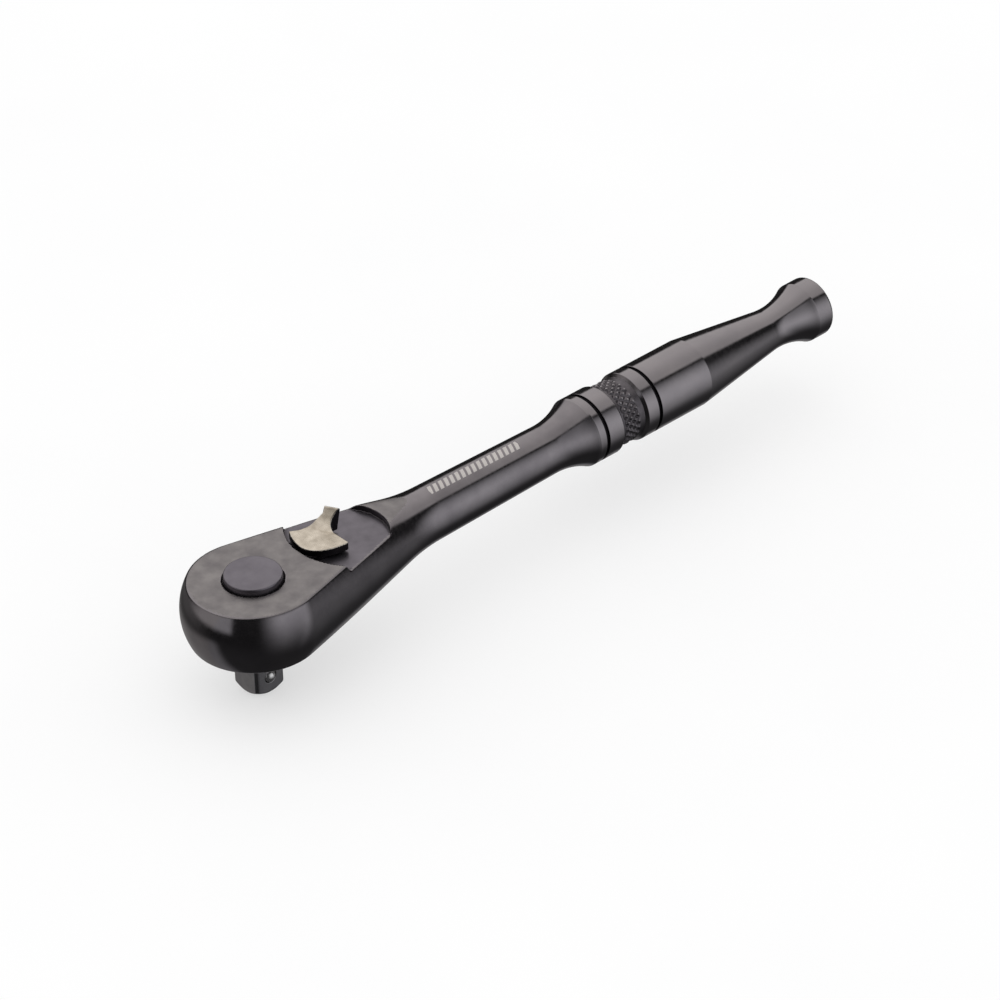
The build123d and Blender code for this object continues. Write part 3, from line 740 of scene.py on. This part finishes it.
def lever_field(x, y, z):
    """The reversing lever: plate, thumb tab rising outwards, and the grooved stem."""
    u, v = lever_axes(x, y)
    rho = np.hypot(u, v)
    side = np.abs(v)
    back = meet(disc(u, v, BACK_X, BACK_Y, BACK_R), disc(u, v, BACK_X, -BACK_Y, BACK_R), 1.5)
    run, fall = LEVER_WAIST[0] - LEVER_CORNER[0], LEVER_CORNER[1] - LEVER_WAIST[1]
    length = math.hypot(run, fall)
    front = ((u - LEVER_CORNER[0]) * fall + (side - LEVER_CORNER[1]) * run) / length
    plate = meet(back, front, 0.25)
    left = 0.9 + 2.25 * np.clip((6.0 - u) / 2.85, 0, 1) ** 0.9
    right = 1.0 + 1.1 * np.clip((u - 5.2) / 1.75, 0, 1.2) ** 1.8
    tab = np.maximum(np.maximum(v - left, -v - right) * 0.75, slab(u, 2.6, 6.95))
    outline = join(plate, tab, 0.9)
    lift = np.clip((u - 3.3) / 3.3, 0, 1.2)
    top = 6.6 + 2.6 * lift ** 1.5 * np.clip(1.5 - 0.5 * lift, 0, 1)
    raised = meet(outline, (z - top) * 0.75, 0.18)
    raised = meet(raised, 5.1 - z, 0.1)
    raised = meet(raised, (u - 6.95) + 0.12 * (9.2 - z), 0.17)
    stem = column(u, v, z, 0, 0, 2.3, -4.2, 5.3, 0.12)
    stem = np.minimum(stem, column(u, v, z, 0, 0, 2.9, 4.8, 5.3, 0.05))
    stem = cut(stem, seal_groove(rho, z, *LEVER_SEAL, SEAL_GROOVE_HALF), 0.05)
    stem = cut(stem, np.maximum(1.9 - rho, slab(z, 2.45, 2.95)))
    bore = np.maximum(np.hypot(v, z - PLUNGER_Z) - 0.85, u - 1.2)
    stem = cut(stem, bore, 0.06)
    return np.minimum(raised, stem)


def lever_pick(middle, facing):
    """Nickel (0) on what faces up near the top, black (1) on the sides and the stem."""
    return ((facing[:, 2] < 0.4) | (middle[:, 2] < 6.0)).astype(int)


def ring_field(x, y, z):
    """The open retaining ring in the lever stem's lower groove."""
    u, v = lever_axes(x, y)
    rho = np.hypot(u, v)
    ring = meet(np.maximum(rho - 3.0, 1.95 - rho), slab(z, 2.5, 2.9), 0.07)
    return cut(ring, np.maximum(np.abs(v) - 0.8, 1.0 - u), 0.1)


# ---- materials ----
def new_material(name):
    material = bpy.data.materials.new(name)
    material.use_nodes = True
    tree = material.node_tree
    return material, tree, tree.nodes["Principled BSDF"]


def grain(tree, size, detail):
    """Noise whose features are about size millimetres across."""
    where = tree.nodes.new("ShaderNodeTexCoord")
    scale = tree.nodes.new("ShaderNodeMapping")
    scale.inputs["Scale"].default_value = [1 / (size * MM)] * 3
    noise = tree.nodes.new("ShaderNodeTexNoise")
    noise.inputs["Scale"].default_value = 1.0
    noise.inputs["Detail"].default_value = detail
    tree.links.new(where.outputs["Object"], scale.inputs["Vector"])
    tree.links.new(scale.outputs["Vector"], noise.inputs["Vector"])
    return noise.outputs["Fac"]


def coordinates(tree, kind="Object"):
    """Sockets for x, y and z: of the surface, or with Generated in the world, of the ray's direction."""
    where = tree.nodes.new("ShaderNodeTexCoord")
    split = tree.nodes.new("ShaderNodeSeparateXYZ")
    tree.links.new(where.outputs[kind], split.inputs[0])
    return [split.outputs[k] for k in range(3)]


def feeding(tree, socket):
    return [one for one in tree.links if one.to_socket == socket][0].from_socket


def spread(tree, source, low, high, start=0.3, end=0.7):
    """Map a value from start..end to low..high."""
    step = tree.nodes.new("ShaderNodeMapRange")
    step.inputs["From Min"].default_value = start
    step.inputs["From Max"].default_value = end
    step.inputs["To Min"].default_value = low
    step.inputs["To Max"].default_value = high
    tree.links.new(source, step.inputs["Value"])
    return step.outputs["Result"]


def blend_colour(tree, amount, first, second):
    """first where amount is 0, second where it is 1. Each is a colour or a socket."""
    mix = tree.nodes.new("ShaderNodeMix")
    mix.data_type = "RGBA"
    tree.links.new(amount, mix.inputs["Factor"])
    for socket, value in ((mix.inputs[6], first), (mix.inputs[7], second)):
        if isinstance(value, tuple):
            socket.default_value = (*value, 1)
        else:
            tree.links.new(value, socket)
    return mix.outputs[2]


def combine(tree, kind, a, b):
    step = tree.nodes.new("ShaderNodeMath")
    step.operation = kind
    for socket, value in zip(step.inputs, (a, b)):
        if isinstance(value, (int, float)):
            socket.default_value = value
        else:
            tree.links.new(value, socket)
    return step.outputs[0]


def times(tree, first, *others):
    for one in others:
        first = combine(tree, "MULTIPLY", first, one)
    return first


def metal(name, light, dark, rough, patch=3.0, fine=0.25, bump=0.02, edge_wear_and_highlight=None, rings=False):
    """A metal whose colour runs between light and dark in patches, with a fine grain.

    edge_wear_and_highlight is the colour of its sharp convex edges, worn metal with a painted highlight on
    the rims, and rings adds turning marks round the z axis.
    """
    material, tree, shader = new_material(name)
    shader.inputs["Metallic"].default_value = 1.0
    patches = grain(tree, patch, 4)
    colour = blend_colour(tree, spread(tree, patches, 0, 1), light, dark)
    if edge_wear_and_highlight is not None:
        # lighter colour on sharp convex edges: partly wear, partly a painted highlight
        shape = tree.nodes.new("ShaderNodeNewGeometry")
        edge = spread(tree, shape.outputs["Pointiness"], 0, 1, 0.515, 0.56)
        broken = spread(tree, grain(tree, 1.1, 5), 0.15, 1.0, 0.35, 0.65)
        colour = blend_colour(tree, times(tree, edge, broken), colour, edge_wear_and_highlight)
    tree.links.new(colour, shader.inputs["Base Color"])
    scratch = grain(tree, fine, 6)
    roughness = combine(
        tree, "ADD",
        spread(tree, scratch, rough[0], rough[1]),
        spread(tree, patches, -0.02, 0.04),
    )
    tree.links.new(roughness, shader.inputs["Roughness"])
    height = scratch
    if rings:
        where = tree.nodes.new("ShaderNodeTexCoord")
        wave = tree.nodes.new("ShaderNodeTexWave")
        wave.wave_type = "RINGS"
        wave.rings_direction = "Z"
        wave.inputs["Scale"].default_value = 900
        wave.inputs["Distortion"].default_value = 1.5
        wave.inputs["Detail"].default_value = 3
        tree.links.new(where.outputs["Object"], wave.inputs["Vector"])
        marks = times(tree, wave.outputs["Fac"], 0.35)
        height = combine(tree, "ADD", marks, scratch)
    relief = tree.nodes.new("ShaderNodeBump")
    relief.inputs["Strength"].default_value = 1.0
    relief.inputs["Distance"].default_value = bump * MM
    tree.links.new(height, relief.inputs["Height"])
    tree.links.new(relief.outputs["Normal"], shader.inputs["Normal"])
    return material


# painted shade: the dark colour laid beside the pocket's walls in place of their shadow and reflection
WALL_SHADE_COLOUR = (0.07, 0.063, 0.07)


def paint_wall_shade(material, reach):
    """Paint shade, and the wall's reflection, into the metal's colour beside the pocket's curved walls,
    fading out over reach millimetres.

    The photograph is dark there. The darkening also hides a light, uneven line at the wall's foot.
    """
    tree = material.node_tree
    shader = tree.nodes["Principled BSDF"]
    x, y, z = coordinates(tree)
    masks = []
    for (centre, radius), side, fade in ((NEAR_WALL, 1, reach[0]), (FAR_WALL, -1, reach[1])):
        along = combine(tree, "SUBTRACT", x, centre * MM)
        squared = combine(tree, "ADD", times(tree, along, along), times(tree, y, y))
        away = combine(tree, "SUBTRACT", combine(tree, "SQRT", squared, 0), radius * MM)
        away = combine(tree, "ABSOLUTE", away, 0)
        close = spread(tree, away, 1, 0, 0.1 * MM, (0.1 + fade) * MM)
        half = spread(tree, times(tree, along, side), 1, 0, 0, 0.5 * MM)
        masks.append(times(tree, close, half))
    shape = combine(tree, "MAXIMUM", *masks)
    height = spread(tree, z, 0, 1, (AXIS_Z + POCKET - 0.25) * MM, (AXIS_Z + POCKET - 0.1) * MM)
    shape = times(tree, shape, height)
    colour = shader.inputs["Base Color"]
    # the painted shade is mixed into the base colour here
    tree.links.new(blend_colour(tree, shape, feeding(tree, colour), WALL_SHADE_COLOUR), colour)


MARK_COLOUR, MARK_ROUGHER, MARK_HALF = (0.75, 0.72, 0.7), 0.35, 0.98


def add_mark(material):
    """An etched band of plain slanted bars along the top of the neck, with no lettering."""
    tree = material.node_tree
    shader = tree.nodes["Principled BSDF"]
    x, y, z = coordinates(tree)

    def window(value, low, high, soft):
        rise = spread(tree, value, 0, 1, (low - soft) * MM, (low + soft) * MM)
        fall = spread(tree, value, 1, 0, (high - soft) * MM, (high + soft) * MM)
        return times(tree, rise, fall)

    slant = combine(tree, "ADD", x, times(tree, y, -0.45))
    across = combine(tree, "PINGPONG", slant, MARK_PITCH / 2 * MM)
    bars = spread(tree, across, 1, 0, 0.33 * MM, 0.45 * MM)
    shape = times(tree, bars, window(y, MARK_Y - MARK_HALF, MARK_Y + MARK_HALF, 0.05))
    shape = times(tree, shape, window(x, MARK_X1, MARK_X2, 0.05))
    top = spread(tree, z, 0, 1, (AXIS_Z + 2.0) * MM, (AXIS_Z + 2.2) * MM)
    shape = times(tree, shape, top)
    speckle = spread(tree, grain(tree, 0.15, 5), 0.75, 1.0)
    shape = times(tree, shape, speckle)
    colour, rough = shader.inputs["Base Color"], shader.inputs["Roughness"]
    tree.links.new(blend_colour(tree, shape, feeding(tree, colour), MARK_COLOUR), colour)
    lifted = times(tree, shape, MARK_ROUGHER)
    tree.links.new(combine(tree, "ADD", feeding(tree, rough), lifted), rough)


def rubber(name):
    material, tree, shader = new_material(name)
    patches = grain(tree, 0.8, 4)
    amount = spread(tree, patches, 0, 1)
    colour = blend_colour(tree, amount, (0.012, 0.012, 0.013), (0.03, 0.03, 0.03))
    tree.links.new(colour, shader.inputs["Base Color"])
    tree.links.new(spread(tree, patches, 0.45, 0.65), shader.inputs["Roughness"])
    relief = tree.nodes.new("ShaderNodeBump")
    relief.inputs["Distance"].default_value = 0.01 * MM
    tree.links.new(grain(tree, 0.1, 3), relief.inputs["Height"])
    tree.links.new(relief.outputs["Normal"], shader.inputs["Normal"])
    return material


# ---- pieces ----
def make_pieces(mats):
    make_handle([mats[key] for key in ("polished", "satin", "knurl", "pocket", "grip", "groove", "tips")])
    low = (-10.9, -10.9, -HALF_HEAD - 0.4)
    carve("cover", "handle", cover_field, low, (25.4, 10.9, -4.3), 0.15, [mats["cover"]],
          None, ["cover_plate"])
    carve("screws", "handle", screw_field, (5.8, -8.7, -6.1), (22.3, 8.7, -0.8), 0.075,
          [mats["oxide"]], None, ["cover_screws"])
    carve("drive", "drive", drive_field, (-7.5, -7.5, -16.7), (7.5, 7.5, 3.9), 0.136,
          [mats["drive"]], None, ["drive_gear"])
    carve("lever", "lever", lever_field, (10.0, -5.2, -4.5), (22.4, 7.6, 9.6), 0.09,
          [mats["nickel"], mats["lever_side"]], lever_pick, ["reversing_lever"])
    carve("retaining_ring", "lever", ring_field, (10.8, -3.3, 2.2), (17.4, 3.3, 3.2), 0.08,
          [mats["spring"]], None, ["lever_retaining_ring"])
    button = [(5.9, 0.05), (5.9, 1.28, 0.03), (4.9, 1.32, 0.08)]
    button += [(4.9, 5.1, 0.12), (7.0, 5.1, 0.27), (7.0, 0.05)]
    turned("button", "release", rounded(button, 0), 128, mats["button"],
           ["quick_release_button"])
    turned("stem", "release", stem_profile(), 64, mats["steel"], ["release_plunger"])
    pin = [(-4.6, 0.05), (-4.6, 0.78, 0.12), (4.05, 0.78, 0.12), (4.05, 0.05)]
    turned("pawl_pin", "handle", rounded(pin, 0), 40, mats["steel"], ["pawl_pivot_pin"],
           lambda p, n: (p + (PAWL_X, 0, 0), n))
    plunger = [(0.9, 0.05), (0.9, 0.8, 0.1)]
    for k in range(13):
        a = math.pi / 2 * k / 12
        plunger.append((2.2 + 0.8 * math.sin(a), max(0.8 * math.cos(a), 0.05), 0))
    turned("plunger", "plunger", rounded(plunger, 0), 40, mats["steel"], ["pawl_plunger"],
           plunger_place)
    sweep = np.linspace(-math.pi / 2, math.pi / 2, 40)
    ball = [(BALL_R * math.sin(a), max(BALL_R * math.cos(a), 0.02)) for a in sweep]
    turned("ball", "ball", ball, 64, mats["ball"], ["detent_ball"],
           lambda p, n: (p @ LIE_Y + (0, BALL_Y, BALL_Z), n @ LIE_Y))
    hoop("hub_seal", "drive", round_loop(*HUB_SEAL, SEAL_SECTION), 96, mats["rubber"],
         ["drive_o_ring"])
    hoop("lever_seal", "lever", round_loop(*LEVER_SEAL, SEAL_SECTION), 64, mats["rubber"],
         ["lever_o_ring"], lever_place)
    hoop("upper_washer", "handle", flat_loop(2.95, 3.15, 5.48, 7.1, 0.05), 96, mats["spring"],
         ["upper_thrust_washer"])
    hoop("lower_washer", "handle",
         flat_loop(-4.62, -4.45, 5.07, 6.6, 0.05), 96, mats["spring"],
         ["lower_thrust_washer"])
    spring = coil("spring", "drive", 2.6, 0.3, 5.36, 5.5, SPRING_FOOT, mats["spring"],
                  ["button_spring"])
    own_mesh(spring)
    coil("plunger_spring", "lever", 0.5, 0.12, 1.55, 5.0, -1.15, mats["spring"],
         ["pawl_spring"], plunger_place)
    for slot in range(len(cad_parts["pawl"].data.materials)):
        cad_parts["pawl"].data.materials[slot] = mats["steel"]


def stem_profile():
    """The release stem, with the ramped groove that lets the ball in."""
    groove_r, groove_z, arc = 1.975, 4.3 - AXIS_Z, 1.25
    out = [(2.1 - AXIS_Z, 0.05), (2.1 - AXIS_Z, 1.3, 0.12)]
    out += [(2.9266 - AXIS_Z, 1.3, 0), (3.7014 - AXIS_Z, 0.878, 0)]
    for k in range(1, 11):
        a = math.radians(-20 + 77.3 * k / 10)
        out.append((groove_z + arc * math.sin(a), groove_r - arc * math.cos(a), 0))
    out += [(5.88, 1.3, 0.1), (5.88, 0.05)]
    return rounded(out, 0)


SPRING_FOOT = -0.48
LIE_Y = np.array([[1, 0, 0], [0, 0, 1], [0, -1, 0]], float)


# ---- stage ----
def ease(tree, source, start, end):
    """0 at start and 1 at end, with soft ends."""
    step = tree.nodes.new("ShaderNodeMapRange")
    step.interpolation_type = "SMOOTHSTEP"
    step.inputs["From Min"].default_value = min(start, end)
    step.inputs["From Max"].default_value = max(start, end)
    step.inputs["To Min"].default_value = 0 if start < end else 1
    step.inputs["To Max"].default_value = 1 if start < end else 0
    tree.links.new(source, step.inputs["Value"])
    return step.outputs["Result"]


def make_studio():
    """The room: even white light on what is matt, and soft boxes that only the metal reflects.

    A box is a product of soft edges in the ray's direction: its height z, or its bearing in degrees.
    """
    world = bpy.data.worlds.new("studio")
    bpy.context.scene.world = world
    world.use_nodes = True
    tree = world.node_tree
    tree.nodes.clear()
    x, y, z = coordinates(tree, "Generated")

    def calc(kind, a, b=0.0):
        return combine(tree, kind, a, b)

    def soft(source, start, end):
        return ease(tree, source, start, end)

    def product(*factors):
        return times(tree, *factors)

    # the line between the overhead box and the near one runs along the handle
    line = calc("ADD", y, calc("ADD", product(z, 0.45), product(x, 0.13)))
    overhead = product(
        soft(z, *OVERHEAD_LOW),
        soft(line, -0.02, 0.11),
        soft(calc("ADD", x, product(z, 1.3)), -0.1, 0.1),
        calc("ADD", 0.56, product(soft(y, -0.25, 0.5), 0.24)),
    )
    bearing = product(calc("ARCTAN2", y, x), 180 / math.pi)
    near_side = product(
        soft(z, *NEAR_LOW),
        calc("SUBTRACT", 1.0, product(soft(z, *NEAR_HIGH), NEAR_FADE)),
        soft(line, 0.0, -0.12),
        soft(bearing, -31, -51),
        soft(bearing, -128, -84),
        NEAR_LEVEL,
    )
    behind = product(calc("ARCTAN2", y, product(x, -1.0)), 180 / math.pi)
    nose = product(
        soft(behind, -20, -11), soft(behind, 75, 30), soft(z, -0.27, -0.1), soft(z, 0.62, 0.3), NOSE_LEVEL,
    )
    far = product(
        soft(bearing, 60, 85), soft(bearing, 165, 120), soft(z, -0.55, -0.3), soft(z, 0.0, -0.16), FAR_LEVEL,
    )
    aside = product(
        soft(bearing, -64, -45), soft(bearing, 25, -25),
        soft(z, 0.16, -0.26), soft(z, -0.8, -0.4), ASIDE_LEVEL,
    )
    floor_far = product(soft(y, 0.05, 0.3), soft(z, -0.42, -0.6), FLOOR_LEVEL)
    below = product(soft(z, -0.25, -0.8), BELOW_LEVEL)
    total = ROOM_LEVEL
    for box in (overhead, near_side, nose, far, aside, floor_far, below):
        total = calc("ADD", box, total)

    path = tree.nodes.new("ShaderNodeLightPath")
    room = tree.nodes.new("ShaderNodeBackground")
    room.inputs["Color"].default_value = (1, 1, 1, 1)
    room.inputs["Strength"].default_value = 1.0
    boxes = tree.nodes.new("ShaderNodeBackground")
    tint = blend_colour(tree, soft(line, -0.1, 0.1), (0.96, 0.97, 1.0), (1.0, 0.98, 0.965))
    tree.links.new(tint, boxes.inputs["Color"])
    tree.links.new(total, boxes.inputs["Strength"])
    pick = tree.nodes.new("ShaderNodeMixShader")
    out = tree.nodes.new("ShaderNodeOutputWorld")
    tree.links.new(path.outputs["Is Glossy Ray"], pick.inputs[0])
    tree.links.new(room.outputs[0], pick.inputs[1])
    tree.links.new(boxes.outputs[0], pick.inputs[2])
    tree.links.new(pick.outputs[0], out.inputs["Surface"])
    bpy.context.scene.view_settings.view_transform = "Standard"


def make_floor():
    """Pale paper, partly lit by itself so that it stays near white, and left out of the reflections."""
    mesh = bpy.data.meshes.new("floor")
    reach = 6.0
    corners = [(-reach, -reach, 0), (reach, -reach, 0), (reach, reach, 0), (-reach, reach, 0)]
    mesh.from_pydata(corners, [], [(0, 1, 2, 3)])
    floor = bpy.data.objects.new("floor", mesh)
    bpy.context.scene.collection.objects.link(floor)
    floor.location.z = -0.0005
    material, tree, shader = new_material("floor_paper")
    shade = spread(tree, grain(tree, 60, 3), 0, 1)
    paper = blend_colour(tree, shade, (0.48, 0.48, 0.48), (0.468, 0.468, 0.47))
    tree.links.new(paper, shader.inputs["Base Color"])
    shader.inputs["Roughness"].default_value = 0.9
    shader.inputs["Specular IOR Level"].default_value = 0.0
    shader.inputs["Emission Color"].default_value = (1, 1, 1, 1)
    shader.inputs["Emission Strength"].default_value = 0.52
    mesh.materials.append(material)
    floor.visible_glossy = False


def make_camera():
    """Above the head's near side, looking down the handle, through a long lens."""
    yaw, pitch, roll = (math.radians(a) for a in CAMERA_TURN)
    ahead = Vector((math.cos(pitch) * math.cos(yaw), math.cos(pitch) * math.sin(yaw), -math.sin(pitch)))
    right = Vector((math.sin(yaw), -math.cos(yaw), 0))
    up = right.cross(ahead)
    right, up = (
        right * math.cos(roll) + up * math.sin(roll),
        up * math.cos(roll) - right * math.sin(roll),
    )
    data = bpy.data.cameras.new("camera")
    data.lens = 144.0
    data.sensor_width = 36.0
    data.clip_start, data.clip_end = 0.01, 20.0
    camera = bpy.data.objects.new("camera", data)
    bpy.context.scene.collection.objects.link(camera)
    place = Matrix((right, up, -ahead)).transposed().to_4x4()
    camera.matrix_world = Matrix.Translation(Vector(CAMERA_AT) * MM) @ place
    bpy.context.scene.camera = camera


MATERIALS = {
    "polished": metal("black_chrome", (0.3, 0.278, 0.29), (0.235, 0.217, 0.23),
                      (0.09, 0.17), 5.0, 0.8, 0.004),
    "grip": metal("black_chrome_grip", (0.35, 0.324, 0.334), (0.3, 0.28, 0.293),
                  (0.08, 0.15), 8.0, 0.8, 0.004),
    # painted shade: the grooves' inside is given a near-black colour in place of the shade that falls in
    # them
    "groove": metal("groove_painted_shade", (0.035, 0.032, 0.036), (0.02, 0.018, 0.022),
                    (0.35, 0.5), 1.0, 0.1, 0.003),
    "knurl": metal("knurl", (0.17, 0.157, 0.168), (0.125, 0.115, 0.125), (0.26, 0.38), 1.0, 0.12, 0.004),
    "tips": metal("knurl_tips", (0.52, 0.49, 0.5), (0.36, 0.34, 0.35), (0.2, 0.32), 0.8, 0.12, 0.004),
    "satin": metal("satin_top", (0.32, 0.3, 0.297), (0.215, 0.2, 0.205), (0.3, 0.44), 3.2, 0.1, 0.004),
    "pocket": metal("satin_pocket", (0.22, 0.203, 0.228), (0.17, 0.158, 0.176),
                    (0.28, 0.38), 2.6, 0.1, 0.003),
    "cover": metal("satin_cover", (0.3, 0.285, 0.29), (0.25, 0.24, 0.245), (0.28, 0.4), 2.0, 0.1, 0.004),
    "button": metal("satin_button", (0.23, 0.214, 0.24), (0.195, 0.18, 0.205), (0.3, 0.38), 2.5, 0.08, 0.003,
                    rings=True),
    "drive": metal("drive_chrome", (0.42, 0.41, 0.42), (0.34, 0.33, 0.345), (0.12, 0.22), 2.0, 0.15, 0.003),
    # the nickel's sharp edges get a lighter colour that is both wear and a painted highlight on the lever's
    # rim
    "nickel": metal("warm_nickel", (0.8, 0.72, 0.61), (0.5, 0.44, 0.36), (0.2, 0.34), 1.7, 0.12, 0.005,
                    edge_wear_and_highlight=(0.85, 0.83, 0.8)),
    "lever_side": metal("lever_black", (0.05, 0.045, 0.048), (0.03, 0.027, 0.03),
                        (0.22, 0.34), 1.0, 0.1, 0.003),
    "ball": metal("ball_steel", (0.9, 0.89, 0.88), (0.8, 0.79, 0.78), (0.22, 0.3), 1.0, 0.1, 0.0005),
    "steel": metal("ground_steel", (0.5, 0.5, 0.51), (0.4, 0.4, 0.41), (0.25, 0.38), 1.0, 0.08, 0.003),
    "spring": metal("spring_wire", (0.55, 0.55, 0.56), (0.42, 0.42, 0.43), (0.2, 0.35), 0.8, 0.07, 0.003),
    "oxide": metal("black_oxide", (0.06, 0.06, 0.065), (0.035, 0.035, 0.04), (0.3, 0.45), 0.8, 0.07, 0.004),
    "rubber": rubber("seal_rubber"),
}
# painted shade beside the pocket's walls: narrow on the polished metal, wide on the pocket's floor
paint_wall_shade(MATERIALS["polished"], (0.07, 0.07))
paint_wall_shade(MATERIALS["pocket"], (1.0, 0.4))
add_mark(MATERIALS["polished"])
make_pieces(MATERIALS)
make_studio()
make_floor()
make_camera()
